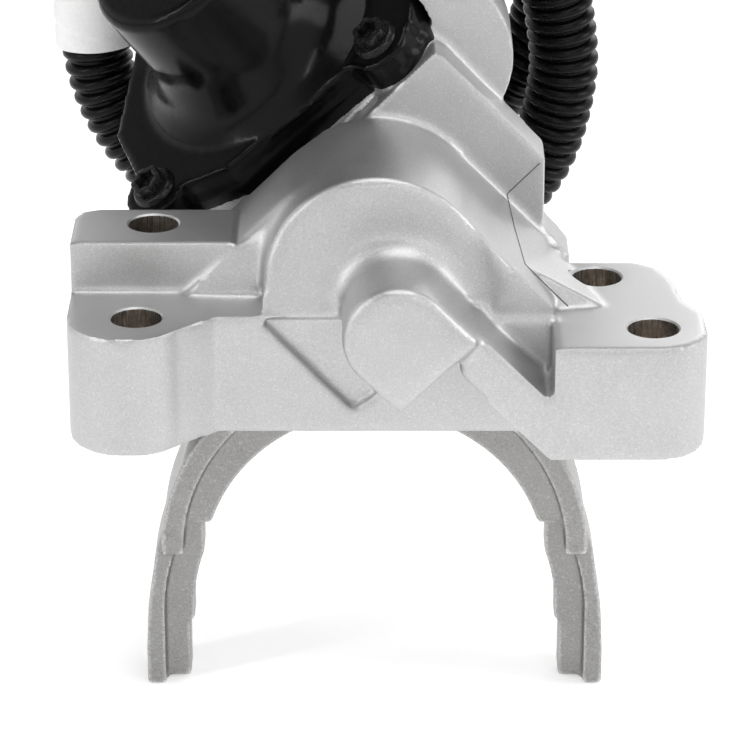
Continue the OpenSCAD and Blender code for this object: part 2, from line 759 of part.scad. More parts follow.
// Shaft, shoulder and crank arm in one piece
module output_shaft() {
    color([0.58, 0.59, 0.61])
    in_cover() translate([output_at[0], output_at[1], 0]) rotate(crank_rest) difference() {
        union() {
            translate([0, 0, crank_arm_z - 0.01]) cylinder(r = crank_shaft_r, h = output_z + output_w + 1 - crank_arm_z);
            translate([0, 0, crank_arm_z - crank_arm_t]) linear_extrude(crank_arm_t) {
                circle(r = 6);
                translate([0, -4]) square([crank_r, 8]);
                translate([crank_r, 0]) circle(r = 4);
            }
        }
        translate([crank_r, 0, crank_arm_z - crank_arm_t - past]) cylinder(r = 2, h = crank_arm_t + 2 * past);
        translate([0, 0, output_z + output_w + 0.1]) difference() {
            cylinder(r = crank_shaft_r + past, h = 0.8);
            cylinder(r = crank_shaft_r - 0.8, h = 0.8);
        }
    }
}

module crank_pin() {
    color([0.70, 0.71, 0.73])
    in_cover() translate([output_at[0], output_at[1], 0]) rotate(crank_rest) translate([crank_r, 0, 0]) {
        translate([0, 0, ball_z]) cylinder(r = 2, h = crank_arm_z - ball_z);
        translate([0, 0, ball_z]) sphere(r = ball_r);
    }
}

module output_bush() {
    color([0.70, 0.55, 0.30])
    in_cover() translate([output_at[0], output_at[1], -tub_depth]) difference() {
        cylinder(r = crank_shaft_r + bush_wall, h = tub_floor - 0.2);
        translate([0, 0, -past]) cylinder(r = crank_shaft_r + running_gap, h = 8);
    }
}

// Rubber ring round the shaft on top of its bush
module output_seal() {
    z0 = tub_floor_z;
    color([0.09, 0.09, 0.09])
    in_cover() translate([output_at[0], output_at[1], z0]) difference() {
        cylinder(r = crank_shaft_r + bush_wall + 1, h = max(output_z - z0 - 0.3, 0.6));
        translate([0, 0, -past]) cylinder(r = crank_shaft_r + running_gap, h = 8);
    }
}

module retaining_ring() {
    color([0.30, 0.30, 0.31])
    in_cover() translate([output_at[0], output_at[1], output_z + output_w + 0.1]) difference() {
        cylinder(r = crank_shaft_r + 1.6, h = 0.8);
        translate([0, 0, -past]) cylinder(r = crank_shaft_r - 0.8, h = 4);
        translate([-1, 0, -past]) cube([2, 10, 4]);
    }
}

// Contact board beside the output gear, and the contact that sweeps under it
module position_board() {
    top = output_z + output_w + 0.8;
    color([0.10, 0.34, 0.20])
    in_cover() {
        translate([2.4, -22, top]) cube([9, 16, 1.6]);
        for (y = [-21, -9]) translate([9, y, tub_floor_z]) cube([2, 2, top - tub_floor_z]);
    }
}

module wiper() {
    color([0.80, 0.66, 0.36])
    in_cover() translate([output_at[0], output_at[1], output_z + output_w]) rotate(crank_rest)
        translate([7, -2, 0]) cube([11, 4, 0.6]);
}

module harness_grommet() {
    color([0.09, 0.09, 0.09])
    translate(grommet_at) rotate([-90, 0, 0]) difference() {
        union() {
            translate([0, 0, -wall]) cylinder(r = 6, h = wall + 2);
            cylinder(r = conduit_d / 2 + 0.7, h = conduit_start[1] - block_rear_y);
        }
        translate([0, 0, -wall - past]) cylinder(r = 3.6, h = 20);
    }
}

module conduit() { color([0.06, 0.06, 0.065]) tube(conduit_line, conduit_d / 2, 12); }

module tape_wrap() {
    part = [for (i = [tape_first : tape_last]) conduit_line[i]];
    longer = [for (i = [tape_first - 1 : tape_last + 1]) conduit_line[i]];
    color([0.93, 0.93, 0.92])
    difference() {
        tube(part, conduit_d / 2 + tape_t, 12);
        tube(longer, (conduit_d / 2 + 0.1) / cos(180 / 12), 12);
    }
}

// Connector frame: its origin is on the conduit's end and x points out of the connector
module at_connector() translate(connector_at) rotate([0, 0, 180]) children();

module connector_body() {
    w = connector_w;
    color([0.08, 0.08, 0.085])
    at_connector() difference() {
        union() {
            rotate([0, 90, 0]) cylinder(r = conduit_d / 2, h = 6);
            translate([5, -w / 2, -w / 2]) cube([connector_l - 5, w, w - 2]);
        }
        translate([connector_l - 15, -w / 2 + 2, -w / 2 + 2]) cube([15 + past, w - 4, w - 6]);
    }
}

module connector_seal() {
    w = connector_w;
    color([0.75, 0.30, 0.12])
    at_connector() translate([connector_l - 15, -w / 2 + 2, -w / 2 + 2]) difference() {
        cube([2.5, w - 4, w - 6]);
        translate([-past, 2, 2]) cube([5, w - 8, w - 10]);
    }
}

module connector_terminals() {
    color([0.80, 0.68, 0.40])
    at_connector() for (k = [-1.5 : 1 : 1.5])
        translate([connector_l - 15, 3.2 * k - 0.8, -2]) cube([9, 1.6, 1.2]);
}

module connector_lock() {
    w = connector_w;
    color([0.55, 0.10, 0.08])
    at_connector() translate([12, -5, w / 2 - 2]) cube([12, 10, 2.4]);
}

housing();
rail_bush_front();
rail_bush_rear();
core_plug();
shift_rail();
shift_fork();
fork_pin();
selector_block();
selector_pin();
motor_cover();
cover_gasket();
cover_screws();
gear_plate();
motor_can();
motor_end_plate();
motor_bush_top();
motor_bush_bottom();
magnets();
armature_core();
armature_windings();
armature_shaft();
commutator();
brushes();
brush_springs();
motor_pinion();
gear_pin();
intermediate_gear();
output_gear();
output_shaft();
crank_pin();
output_bush();
output_seal();
retaining_ring();
position_board();
wiper();
harness_grommet();
conduit();
tape_wrap();
connector_body();
connector_seal();
connector_terminals();
connector_lock();
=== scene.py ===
# %% [markdown]
# # Front differential actuator
# An electric motor under a black cover turns a small gear train, and a crank
# slides a steel rail that carries a cast fork. The fork moves a splined collar
# in a front axle. This lesson dresses the construction model: it keeps every
# place and size of the solids and adds cast skins, rounded edges, a corrugated
# conduit and finishes that are made from nodes.

# %% Load the frame
import math

import bpy
from mathutils import Euler, Matrix, Vector


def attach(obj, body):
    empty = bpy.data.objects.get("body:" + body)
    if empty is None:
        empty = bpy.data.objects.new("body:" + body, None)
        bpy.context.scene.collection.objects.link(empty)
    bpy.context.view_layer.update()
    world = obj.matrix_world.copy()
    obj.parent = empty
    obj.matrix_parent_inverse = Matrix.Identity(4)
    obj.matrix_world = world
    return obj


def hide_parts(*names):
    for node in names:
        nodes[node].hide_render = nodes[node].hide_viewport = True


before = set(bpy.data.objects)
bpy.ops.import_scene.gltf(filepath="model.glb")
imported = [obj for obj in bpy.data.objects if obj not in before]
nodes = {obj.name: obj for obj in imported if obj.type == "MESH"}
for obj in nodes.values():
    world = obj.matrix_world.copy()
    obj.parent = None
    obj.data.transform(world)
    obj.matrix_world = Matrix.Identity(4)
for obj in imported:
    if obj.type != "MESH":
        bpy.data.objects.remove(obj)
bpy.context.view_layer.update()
MM = 0.001
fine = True
print("nodes in the frame:", len(nodes))


# %% [markdown]
# ## Small helpers
# Operators act on everything that is selected, so each step first selects one
# object alone. A modifier is set, applied and gone, so that the finished mesh
# holds its own shape. Lengths are in millimetres until they reach Blender.

# %% Select, modify, copy
def only(obj):
    bpy.ops.object.select_all(action="DESELECT")
    obj.select_set(True)
    bpy.context.view_layer.objects.active = obj
    return obj


def modify(obj, kind, **settings):
    only(obj)
    step = obj.modifiers.new(kind.title(), kind)
    for key, value in settings.items():
        setattr(step, key, value)
    bpy.ops.object.modifier_apply(modifier=step.name)
    return obj


def bevel(obj, width, segments, sharper_than):
    """Round the edges that turn by more than the given angle, in degrees."""
    return modify(obj, "BEVEL", width=width * MM, segments=segments, limit_method="ANGLE",
                  angle_limit=math.radians(sharper_than))


def in_edit_mode(obj, work):
    only(obj)
    bpy.ops.object.mode_set(mode="EDIT")
    work()
    bpy.ops.object.mode_set(mode="OBJECT")
    return obj


def linked(name, mesh):
    obj = bpy.data.objects.new(name, mesh)
    bpy.context.scene.collection.objects.link(obj)
    return obj


def merged_copy(node, name):
    """A copy of a CAD node's mesh as a new piece, with its loose triangles merged."""
    piece = linked(name, nodes[node].data.copy())
    piece.data.materials.clear()

    def merge():
        bpy.ops.mesh.select_all(action="SELECT")
        bpy.ops.mesh.remove_doubles(threshold=1e-6)
    return in_edit_mode(piece, merge)


def join(parts, name):
    only(parts[0])
    for part in parts[1:]:
        part.select_set(True)
    bpy.ops.object.join()
    parts[0].name = parts[0].data.name = name
    return parts[0]


def settle(obj):
    only(obj)
    bpy.ops.object.transform_apply(location=True, rotation=True, scale=True)
    return obj


def rounded(obj, angle=35):
    only(obj)
    bpy.ops.object.shade_smooth_by_angle(angle=math.radians(angle))
    return obj


def triangles(obj):
    return sum(len(face.vertices) - 2 for face in obj.data.polygons)


def slim(obj, most):
    """Thin the mesh out if it has more triangles than the given number."""
    if triangles(obj) > most:
        modify(obj, "DECIMATE", ratio=most / triangles(obj))
    return obj


def weigh(obj, name, weight_at):
    """A vertex group with a weight for each place, and its name."""
    group = obj.vertex_groups.new(name=name)
    for vertex in obj.data.vertices:
        weight = weight_at(vertex.co / MM)
        if weight > 0:
            group.add([vertex.index], weight, "REPLACE")
    return name


print("a millimetre is", MM, "m, full detail:", fine)


# %% [markdown]
# ## Simple solids
# A round bar, a block round a few corners, and a tube swept along a line are
# enough to add the forms that the solids don't have.

# %% Bar, block, tube
def cylinder(radius, start, end, sides=64, top=None):
    """A closed round bar from start to end, with another radius at its end if top is given."""
    start, end = Vector(start) * MM, Vector(end) * MM
    along = end - start
    bpy.ops.object.select_all(action="DESELECT")
    bpy.ops.mesh.primitive_cone_add(
        vertices=sides, radius1=radius * MM, radius2=(radius if top is None else top) * MM,
        depth=along.length, location=(start + end) / 2,
        rotation=along.to_track_quat("Z", "Y").to_euler())
    return settle(bpy.context.object)


def hull_block(corners):
    """A closed block round the given corners."""
    mesh = bpy.data.meshes.new("block")
    mesh.from_pydata([Vector(c) * MM for c in corners], [], [])

    def wrap():
        bpy.ops.mesh.select_all(action="SELECT")
        bpy.ops.mesh.convex_hull()
    return in_edit_mode(linked("block", mesh), wrap)


def swept(name, line, radius_at, sides):
    """A closed tube round a line. radius_at(ring, side) is its radius there."""
    last = len(line) - 1
    across, corners = Vector((1, 0, 0.01)), []
    for i, centre in enumerate(line):
        along = (line[min(i + 1, last)] - line[max(i - 1, 0)]).normalized()
        across = (across - along * across.dot(along)).normalized()
        beside = along.cross(across)
        for k in range(sides):
            turn = 2 * math.pi * k / sides
            outwards = math.cos(turn) * across + math.sin(turn) * beside
            corners.append((centre + radius_at(i, k) * outwards) * MM)
    faces = [
        (i * sides + k, (i + 1) * sides + k,
         (i + 1) * sides + (k + 1) % sides, i * sides + (k + 1) % sides)
        for i in range(last) for k in range(sides)
    ]
    faces.append(tuple(range(sides)))
    faces.append(tuple(last * sides + k for k in reversed(range(sides))))
    mesh = bpy.data.meshes.new(name)
    mesh.from_pydata(corners, [], faces)

    def turn_outwards():
        bpy.ops.mesh.select_all(action="SELECT")
        bpy.ops.mesh.normals_make_consistent(inside=False)
    return in_edit_mode(linked(name, mesh), turn_outwards)


print("forms to build with: bar, block, tube")

# %% [markdown]
# ## Camera
# The photograph looks along +Y and 23.5 degrees down. The round bolt holes show
# as ovals, and their height over their width gives that angle. The front holes
# are a little wider than the rear ones, which puts the camera about 0.8 m away.

# %% Camera
picture_side = 750
aim = Vector((0.1, 11, 7.88)) * MM
elevation = math.radians(23.5)
distance = 0.8
camera_data = bpy.data.cameras.new("camera")
camera_data.sensor_width = 36
camera_data.lens = 174.95
camera = linked("camera", camera_data)
camera.location = aim + distance * Vector((0, -math.cos(elevation), math.sin(elevation)))
camera.rotation_euler = (math.pi / 2 - elevation, 0, 0)
bpy.context.scene.camera = camera
print("camera at", [round(x, 4) for x in camera.location])

# %% [markdown]
# ## Conduit
# The wires leave the casting through a rubber boot and run in a corrugated
# conduit, 16.5 mm across. It makes one loose loop behind the casting and ends
# in a connector. The route below is the one of the construction model: a smooth
# curve goes through its points.

# %% Route
route_mm = [
    (-17, 97, 22), (-14.7, 108.5, 22), (-8.2, 118.2, 22.5), (1.5, 124.7, 23.5),
    (13, 127, 25.5), (24, 126, 30), (33, 123, 38.5), (39, 119.5, 50), (42, 117, 64),
    (41, 115, 80), (34, 113, 95), (18, 112, 106.5), (-6, 110.5, 111), (-32, 108, 106),
    (-53, 104, 91), (-64, 101.5, 72), (-66, 101, 55), (-61.5, 101, 38), (-51, 100.5, 23.5),
    (-35, 100, 11.5), (-15, 100, 4), (7, 100, 3.5), (26, 99, 11), (39, 97, 27),
    (44.3, 94.5, 48), (43, 93, 66), (39, 91.5, 81), (34, 90.5, 94.5), (26.5, 90, 103.7),
    (16.5, 90, 109), (8, 90, 110),
]
route_start, route_end = Vector((-17, 95, 22)), Vector((6, 90, 110))


def spline_point(a, b, c, d, t):
    """A point between b and c on the smooth curve through a, b, c and d."""
    return ((2 * b) + (c - a) * t + (2 * a - 5 * b + 4 * c - d) * t * t
            + (3 * b - a - 3 * c + d) * t * t * t) / 2


def smooth_line(points, steps):
    points = [Vector(p) for p in points]
    last = len(points) - 1
    line = []
    for i in range(last):
        near = points[max(i - 1, 0)], points[i], points[i + 1], points[min(i + 2, last)]
        line += [spline_point(*near, k / steps) for k in range(steps)]
    return line + [points[last]]


def at_lengths(line, lengths):
    """Points at the given distances along a line."""
    out, run, i = [], 0.0, 0
    for want in lengths:
        while i < len(line) - 2 and run + (line[i + 1] - line[i]).length < want:
            run += (line[i + 1] - line[i]).length
            i += 1
        part = (line[i + 1] - line[i]).length
        out.append(line[i].lerp(line[i + 1], (want - run) / part))
    return out


def line_length(line):
    return sum((b - a).length for a, b in zip(line, line[1:]))


coarse_line = [route_start] + smooth_line(route_mm, 3) + [route_end]
fine_line = [route_start] + smooth_line(route_mm, 24) + [route_end]
conduit_length = line_length(fine_line)
print("conduit length, mm:", round(conduit_length, 1))

# %% [markdown]
# A tube is swept along the route. Its radius follows one rib's profile again
# and again: a flat groove, a steep shoulder and a round crown.

# %% Ribbed tube
conduit_r = 8.25
crown_r, shoulder_r, groove_r = 8.15, 7.7, 6.7
rib_pitch = 3.4
conduit_sides = 28
rib_profile = [
    (0.0, groove_r), (0.08, groove_r), (0.16, shoulder_r), (0.3, crown_r), (0.46, conduit_r),
    (0.62, crown_r), (0.78, shoulder_r), (0.9, groove_r),
]
ribs = int(conduit_length / rib_pitch)
pitch = conduit_length / ribs
lengths = [(rib + t) * pitch for rib in range(ribs) for t, _ in rib_profile] + [conduit_length]
radii = [r for _ in range(ribs) for _, r in rib_profile] + [groove_r]
rings = at_lengths(fine_line, lengths)
conduit = swept("corrugated_conduit", rings, lambda i, k: radii[i], conduit_sides)
rounded(conduit, 60)
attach(conduit, "housing")
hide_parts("conduit")
print("ribs:", ribs, "triangles:", triangles(conduit))

# %% [markdown]
# ## Tape
# A few turns of white cloth tape hold the conduit where it comes over the
# motor. Each turn lies on the last one, so the surface climbs by one tape
# thickness round a helix and drops again at the tape's edge.

# %% Tape
tape_points = slice(43, 50)
tape_steps, tape_sides = 60, 48
tape_turn = 13.0
tape_gap, tape_thickness = 1.1, 0.45
folds, fold_depth = 7, 0.06
tape_line = smooth_line(coarse_line[tape_points], 4)
tape_length = line_length(tape_line)
tape_rings = at_lengths(tape_line, [tape_length * i / tape_steps for i in range(tape_steps + 1)])


def tape_radius(ring, side):
    ride_up = (tape_length * ring / tape_steps / tape_turn + side / tape_sides) % 1
    crumple = fold_depth * math.sin(folds * side * 2 * math.pi / tape_sides + ring * 0.9)
    return conduit_r + tape_gap + tape_thickness * ride_up + crumple


tape = swept("tape_wrap_cloth", tape_rings, tape_radius, tape_sides)
rounded(tape, 50)
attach(tape, "housing")
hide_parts("tape_wrap")
print("tape length, mm:", round(tape_length, 1))

# %% [markdown]
# ## Rubber boot
# The boot seals the wires in the casting's wall and keeps the conduit from
# kinking. It gets thinner along the conduit, carries four ridges, and is swept
# on the same route, so it bends with it.

# %% Boot
boot_root = Vector((-17, 91, 22))
boot_length, boot_steps = 22.0, 44
boot_foot_r, boot_taper, ridge_height = 10.6, 1.7, 0.45
boot_line = at_lengths([boot_root] + fine_line,
                       [boot_length * i / boot_steps for i in range(boot_steps + 1)])


def boot_radius(ring, side):
    share = ring / boot_steps
    ridge = ridge_height if ring % 9 in (3, 4, 5) and share > 0.2 else 0.0
    return boot_foot_r - boot_taper * share + ridge


boot = swept("conduit_boot", boot_line, boot_radius, 40)
rounded(boot, 50)
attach(boot, "housing")
print("boot triangles:", triangles(boot))

# %% [markdown]
# ## Connector
# The real one has a square shell with a collar for the conduit, ribs to grip
# and a coloured lock. The shell here starts as a copy of its solid, gets round
# edges and four grip ribs in a row.

# %% Connector
grip_ribs, first_rib_x, rib_step = 4, -2.2, 1.9
shell = bevel(merged_copy("connector_body", "connector_shell"), 0.7, 3, 40)
shell_parts = [shell]
for step in range(grip_ribs):
    bpy.ops.object.select_all(action="DESELECT")
    bpy.ops.mesh.primitive_cube_add(
        size=1, location=((first_rib_x - rib_step * step) * MM, 90 * MM, 109 * MM),
        scale=(0.9 * MM, 20.9 * MM, 13 * MM))
    grip = settle(bpy.context.object)
    modify(grip, "BEVEL", width=0.3 * MM, segments=2)
    shell_parts.append(grip)
shell = join(shell_parts, "connector_shell")
rounded(shell, 40)
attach(shell, "housing")
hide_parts("connector_body")
lock = merged_copy("connector_lock", "connector_lock_tab")
modify(lock, "BEVEL", width=0.5 * MM, segments=3)
rounded(lock, 40)
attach(lock, "housing")
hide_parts("connector_lock")
print("connector triangles:", triangles(shell), "lock:", triangles(lock))

# %% [markdown]
# The conduit leaves the casting's rear wall; its length is printed in metres.

# %% Cord
print("cord, m:", round(conduit_length * MM, 3))

# %% [markdown]
# ## Casting
# The housing is die-cast aluminium: every edge that was not machined is round,
# and the walls flow into each other. The dome's flanks run out over the pads in
# slopes, which two blocks add. Remeshing it all into small even faces makes one
# skin that can be smoothed. The bolt holes are filled before that and bored
# again afterwards, so their rims stay crisp, as a drill leaves them.

# %% Fill the casting
holes = [(-51, -2, 27), (-48.5, 24, 38.6), (59.5, -5.3, 26), (49, 24, 26)]
hole_r = 5.5
plug_over, plug_inset = 1, 0.02
casting = merged_copy("housing", "cast_housing")
plugs = [
    cylinder(hole_r + plug_over, (x, y, plug_inset), (x, y, top - plug_inset), 32)
    for x, y, top in holes
]
left_flank = hull_block(
    [(x, y, z) for y in (14, 41.5) for x, z in ((-41.5, 26), (-17.3, 50), (-10, 50), (-10, 26))]
    + [(-42.5, 9.8, 26), (-26, 9.2, 26), (-20, 8.5, 26), (-19, 12, 45), (-10, 12, 48)])
right_flank = hull_block([
    (31, 9, 35.5), (31, 41, 35), (50.2, 6.5, 25.9), (40.5, 41, 25.9), (31, 41, 25.9),
    (38, 4.5, 25.9), (31, 6, 25.9)])
casting = join([casting, left_flank, right_flank] + plugs, "cast_housing")
modify(casting, "REMESH", mode="VOXEL", voxel_size=(0.75 if fine else 1.1) * MM)
print("remeshed faces:", len(casting.data.polygons))

# %% [markdown]
# The dome's front leans back a little towards its top. Smoothing makes the
# fillets, and where they are large in the photograph it runs longer.

# %% Soften the casting
dome_x, dome_z, dome_r = 0.5, 32.5, 25.5
dome_front_y, ledge_z = 2.5, 27.5
boss_x, boss_z, boss_r = 5, 28.5, 12.4
lean_foot, lean_more, lean_height = 0.2, 2.6, 16
boss_border = 2.5


def lean(p):
    """How far the dome's front leans back: more towards its top, none under the ledge."""
    off_dome = math.hypot(p.x - dome_x, p.z - dome_z) > dome_r
    if p.y > dome_front_y or p.z < ledge_z or off_dome:
        return 0.0
    off_boss = (math.hypot(p.x - boss_x, p.z - boss_z) - boss_r) / boss_border
    share = min((p.z - ledge_z) / lean_height, 1)
    return min(max(off_boss, 0), 1) * (lean_foot + lean_more * share)


def soft_places(p):
    """Where the fillets are large: the dome's front rim, the boss and the left flank."""
    dome_rim = p.y < 9 and p.z > 31 and -30 < p.x < 30
    boss = p.y < -8 and abs(p.x - boss_x) < 20 and p.z > 5 and p.x < 24
    flank = 5 <= p.y < 44 and -38 < p.x < -12 and 29 < p.z < 54 and (p.x > -29 or p.y < 11)
    return 1.0 if dome_rim or boss or flank else 0.0


for vertex in casting.data.vertices:
    vertex.co.y += lean(vertex.co / MM) * MM
modify(casting, "SMOOTH", factor=0.5, iterations=3)
modify(casting, "SMOOTH", factor=0.5, iterations=45 if fine else 24,
       vertex_group=weigh(casting, "soft", soft_places))
slim(casting, 180000)
print("casting triangles:", triangles(casting))

# %% [markdown]
# ## Parting line
# The die's two halves leave a fine line on the right flank. It is laid on the
# surface by looking through the camera, so it runs where the photograph shows
# it, and lies half sunk in the metal.

# %% Parting line
seam_pixels = [(540, 163), (507, 194), (514, 226), (525, 264), (548, 287), (570, 308)]
seam_steps, seam_r, seam_sides = 12, 0.14, 8


def seen_point(column, row):
    """The place on the casting that the camera sees at a pixel of the picture."""
    half, half_sensor = picture_side / 2, camera_data.sensor_width / 2
    ray = Vector(((column - half) / half * half_sensor, (half - row) / half * half_sensor,
                  -camera_data.lens))
    ray.rotate(camera.rotation_euler)
    hit, where, _, _ = casting.ray_cast(camera.location, ray.normalized())
    return where / MM if hit else None


seam_route = []
for (c0, r0), (c1, r1) in zip(seam_pixels, seam_pixels[1:]):
    for k in range(seam_steps):
        part = k / seam_steps
        seam_route.append(seen_point(c0 + (c1 - c0) * part, r0 + (r1 - r0) * part))
seam_route = [p for p in seam_route if p is not None]
seam = swept("parting_line", seam_route, lambda i, k: seam_r, seam_sides)
print("parting line, mm:", round(line_length(seam_route), 1))

# %% [markdown]
# ## Bolt holes
# Each hole is cut with one turned tool: a shank with the hole's radius and a
# wider head that leaves a small chamfer at the pad's top.

# %% Bore the bolt holes again
rim = 0.8
below, above = -2, 3
for x, y, top in holes:
    profile = [(below, hole_r), (top - rim / 2, hole_r), (top + rim / 2, hole_r + rim),
               (top + above, hole_r + rim)]
    drill = swept("drill", [Vector((x, y, z)) for z, _ in profile],
                  lambda i, k: profile[i][1], 72)
    modify(casting, "BOOLEAN", operation="DIFFERENCE", object=drill, solver="EXACT")
    bpy.data.objects.remove(drill)
rounded(casting, 40)
for piece in (casting, seam):
    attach(piece, "housing")
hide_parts("housing")
down = Vector((0, 0, -1))
blocked = [casting.ray_cast(Vector((x, y, 60)) * MM, down)[0] for x, y, _ in holes]
print("casting triangles, bored:", triangles(casting), "holes blocked:", sum(blocked))

# %% [markdown]
# ## Fork
# The fork is cast too, with a raised rib round its arch and thin tongues that
# run in the collar's groove. Its darker colour is painted shade, and its edges
# carry a painted highlight. An ejector pin left a small round mark at the left
# rib's end. The same remeshing rounds the edges.

# %% Fork
mark_x, mark_z, mark_r = -45.7, -30, 1.7
fork = merged_copy("shift_fork", "cast_fork")
mark = cylinder(mark_r, (mark_x, 6, mark_z), (mark_x, 4.4, mark_z), 40)
fork = join([fork, mark], "cast_fork")
modify(fork, "REMESH", mode="VOXEL", voxel_size=(0.6 if fine else 0.9) * MM)
modify(fork, "SMOOTH", factor=0.5, iterations=4)
slim(fork, 150000)
rounded(fork, 40)
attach(fork, "shifter")
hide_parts("shift_fork")
print("fork triangles:", triangles(fork))

# %% [markdown]
# ## Motor cover
# The cover is a casting under black satin paint. Its round pot flows into the
# plate in a wide hollow fillet: two short cones are joined round the pot's foot
# before the remesh, and smoothing hollows them out. The skirt ends in a lip
# that laps over the tub's rim. It is the gasket's outline, made taller and
# wider.

# %% Cover
cover_centre = Vector((-27, 68, 66))
cover_turn = Euler([math.radians(a) for a in (11.9, -40.8, 20.8)], "XYZ")
cover_place = Matrix.Translation(cover_centre * MM) @ cover_turn.to_matrix().to_4x4()
cover_back = cover_place.inverted()
gasket_middle, lip_foot, lip_top = -6.75, -10.2, -5.5
lip_scale, lip_shift = 1.016, 0.05


def on_cover(z):
    """A point on the pot's axis, z above the plate."""
    return (cover_place @ (Vector((0, 0, z)) * MM)) / MM


cover = merged_copy("motor_cover", "cast_cover")
low_foot = cylinder(30.5, on_cover(-0.6), on_cover(3.6), 96, top=25.6)
high_foot = cylinder(27, on_cover(-0.6), on_cover(13), 96, top=21.2)
lip = merged_copy("cover_gasket", "lip")
for vertex in lip.data.vertices:
    q = cover_back @ vertex.co / MM
    level = lip_foot if q.z < gasket_middle else lip_top
    q = Vector((q.x * lip_scale + lip_shift, q.y * lip_scale, level))
    vertex.co = cover_place @ (q * MM)
cover = join([cover, low_foot, high_foot, lip], "cast_cover")
modify(cover, "REMESH", mode="VOXEL", voxel_size=(0.65 if fine else 1.0) * MM)
print("remeshed faces:", len(cover.data.polygons))


# %% [markdown]
# Three rounds of smoothing follow: a light one all over, more on the pot's
# wall, and the most on the foot.

# %% Soften the cover
def cover_band(inner, outer, low, high):
    """A weight of 1 between two distances from the pot's axis and two heights over the plate."""
    def weight(p):
        q = cover_back @ (p * MM) / MM
        return 1.0 if inner < math.hypot(q.x, q.y) < outer and low < q.z < high else 0.0
    return weight


modify(cover, "SMOOTH", factor=0.5, iterations=8)
modify(cover, "SMOOTH", factor=0.5, iterations=14,
       vertex_group=weigh(cover, "pot", cover_band(18, 25, 3, 32)))
modify(cover, "SMOOTH", factor=0.5, iterations=60 if fine else 30,
       vertex_group=weigh(cover, "foot", cover_band(20, 33, 0.6, 17)))
slim(cover, 170000)
rounded(cover, 40)
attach(cover, "housing")
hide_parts("motor_cover")
print("cover triangles:", triangles(cover))

# %% [markdown]
# ## Cover screws
# Each ear holds a flanged screw with a six-lobed head. The head starts as a
# cylinder: its rim is moved in and out to make the lobes, and its top is inset
# and pushed down for the socket. The screw is copied to the four ears.

# %% Screws
screw_places = [(-39.9, -11.8), (18.2, -30), (31, 12), (-4, 34.5)]
lobes, lobe_depth = 6, 0.09
head_r, head_h, head_z = 3.6, 2.8, 2.2
socket_wall, socket_depth = 1.2, 1.9
first_turn, more_turn = 0.4, 0.7


def lobed_head():
    bpy.ops.object.select_all(action="DESELECT")
    bpy.ops.mesh.primitive_cylinder_add(vertices=48, radius=head_r * MM, depth=head_h * MM,
                                        location=(0, 0, head_z * MM))
    head = settle(bpy.context.object)
    for vertex in head.data.vertices:
        turn = math.atan2(vertex.co.y, vertex.co.x)
        vertex.co.xy *= 1 + lobe_depth * math.cos(lobes * turn)

    def hollow():
        bpy.ops.mesh.select_all(action="DESELECT")
        bpy.ops.object.mode_set(mode="OBJECT")
        for face in head.data.polygons:
            face.select = face.normal.z > 0.9
        bpy.ops.object.mode_set(mode="EDIT")
        bpy.ops.mesh.inset(thickness=socket_wall * MM)
        bpy.ops.mesh.extrude_region_move(
            TRANSFORM_OT_translate={"value": (0, 0, -socket_depth * MM)})
    in_edit_mode(head, hollow)
    return bevel(head, 0.28, 3, 50)


def flanged_screw():
    washer = bevel(cylinder(5.5, (0, 0, 0), (0, 0, 1.4), 64, top=4.6), 0.25, 2, 30)
    shank = cylinder(2.5, (0, 0, -17), (0, 0, 0.2), 32)
    return join([washer, lobed_head(), shank], "cover_screw")


pattern_screw = flanged_screw()
screws = []
for number, (x, y) in enumerate(screw_places):
    screw = linked("cover_screw", pattern_screw.data.copy())
    own_turn = Matrix.Rotation(first_turn + more_turn * number, 4, "Z")
    screw.matrix_world = cover_place @ Matrix.Translation(Vector((x, y, 0)) * MM) @ own_turn
    screws.append(settle(screw))
bpy.data.objects.remove(pattern_screw)
screws = join(screws, "cover_screw_set")
rounded(screws, 35)
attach(screws, "housing")
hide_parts("cover_screws")
print("screws:", len(screw_places), "triangles:", triangles(screws))


# %% [markdown]
# ## Finishes
# Two shared node groups make the skins, from a few kinds of node that the
# functions below set up.

# %% Node helpers
def new_group(name, numbers, colours):
    tree = bpy.data.node_groups.new(name, "ShaderNodeTree")

    def socket(title, way, kind):
        return tree.interface.new_socket(title, in_out=way, socket_type="NodeSocket" + kind)
    for title, value in numbers.items():
        socket(title, "INPUT", "Float").default_value = value
    for title, value in colours.items():
        socket(title, "INPUT", "Color").default_value = value
    socket("Colour", "OUTPUT", "Color")
    socket("Roughness", "OUTPUT", "Float")
    socket("Height", "OUTPUT", "Float")
    return tree, tree.nodes.new("NodeGroupInput"), tree.nodes.new("NodeGroupOutput")


def node(tree, kind, **settings):
    made = tree.nodes.new("ShaderNode" + kind)
    for key, value in settings.items():
        setattr(made, key, value)
    return made


def feed(tree, socket, value):
    """Link a socket to another one's output, or give it a plain value."""
    if isinstance(value, (int, float, tuple)):
        socket.default_value = value
    else:
        tree.links.new(value, socket)


def math_node(tree, operation, a, b):
    made = node(tree, "Math", operation=operation)
    feed(tree, made.inputs[0], a)
    feed(tree, made.inputs[1], b)
    return made.outputs[0]


def plus(tree, a, b):
    return math_node(tree, "ADD", a, b)


def times(tree, a, b):
    return math_node(tree, "MULTIPLY", a, b)


def mix_colour(tree, factor, a, b):
    made = node(tree, "Mix", data_type="RGBA")
    for place, value in ((0, factor), (6, a), (7, b)):
        feed(tree, made.inputs[place], value)
    return made.outputs[2]


def noise(tree, coordinates, scale, detail, rough=0.6):
    made = node(tree, "TexNoise")
    made.inputs["Detail"].default_value = detail
    made.inputs["Roughness"].default_value = rough
    feed(tree, made.inputs["Vector"], coordinates)
    feed(tree, made.inputs["Scale"], scale)
    return made.outputs[0]


